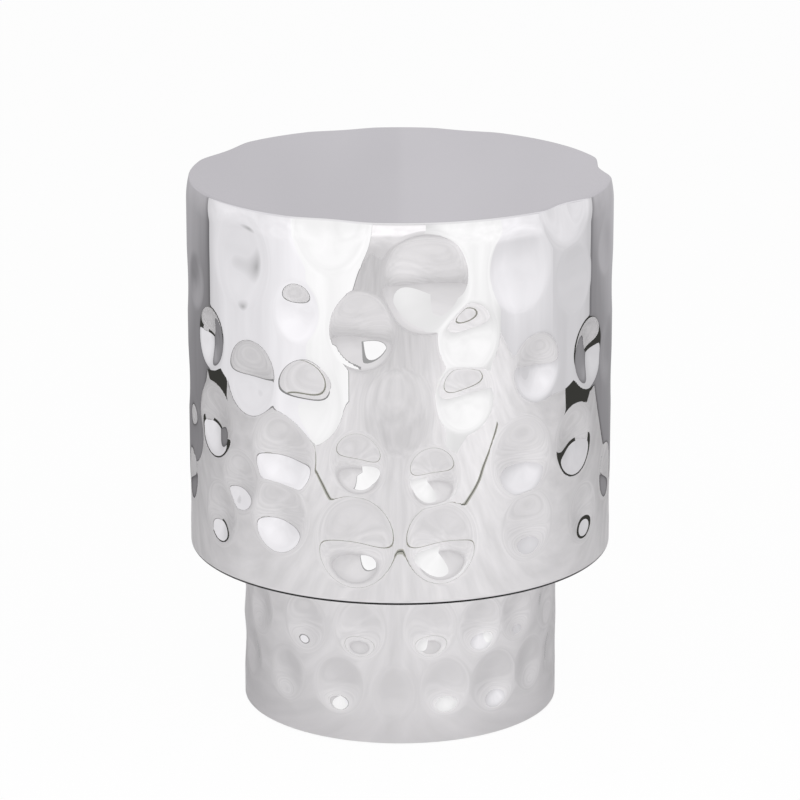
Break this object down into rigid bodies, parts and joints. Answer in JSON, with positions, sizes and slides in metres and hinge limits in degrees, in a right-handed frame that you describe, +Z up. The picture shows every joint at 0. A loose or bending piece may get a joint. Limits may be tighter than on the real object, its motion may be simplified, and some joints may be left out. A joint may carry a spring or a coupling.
{
  "type": "hammered drum side table",
  "caption": "Round free-standing side table of polished hammered sheet metal: a wide drum with a flat top on a narrower drum base.",
  "frame": {"origin": "on the floor under the table's centre", "axes": "+Z up along the drums' axis, -Y towards the pictured front"},
  "size_m": [0.4, 0.4, 0.514],
  "materials": {
    "polished_top": "flat mirror polish with a faint haze",
    "hammered_steel": "mirror polish over hand-hammered dents",
    "board": "raw pressed-fibre board",
    "mill_steel": "plain mill finish",
    "zinc_fasteners": "bright zinc plate",
    "pad_rubber": "matt black"
  },
  "bodies": {
    "root": {"top_plate": "polished_top", "upper_wall": "hammered_steel", "base_wall": "hammered_steel", "top_backing_board": "board", "underside_plate": "mill_steel", "base_top_flange": "mill_steel", "base_foot_ring": "mill_steel", "flange_bolts": "zinc_fasteners", "flange_washers": "zinc_fasteners", "weld_nuts": "zinc_fasteners", "floor_pad_1": "pad_rubber", "floor_pad_2": "pad_rubber", "floor_pad_3": "pad_rubber", "floor_pad_4": "pad_rubber", "floor_pad_5": "pad_rubber", "floor_pad_6": "pad_rubber"}
  },
  "joints": []
}
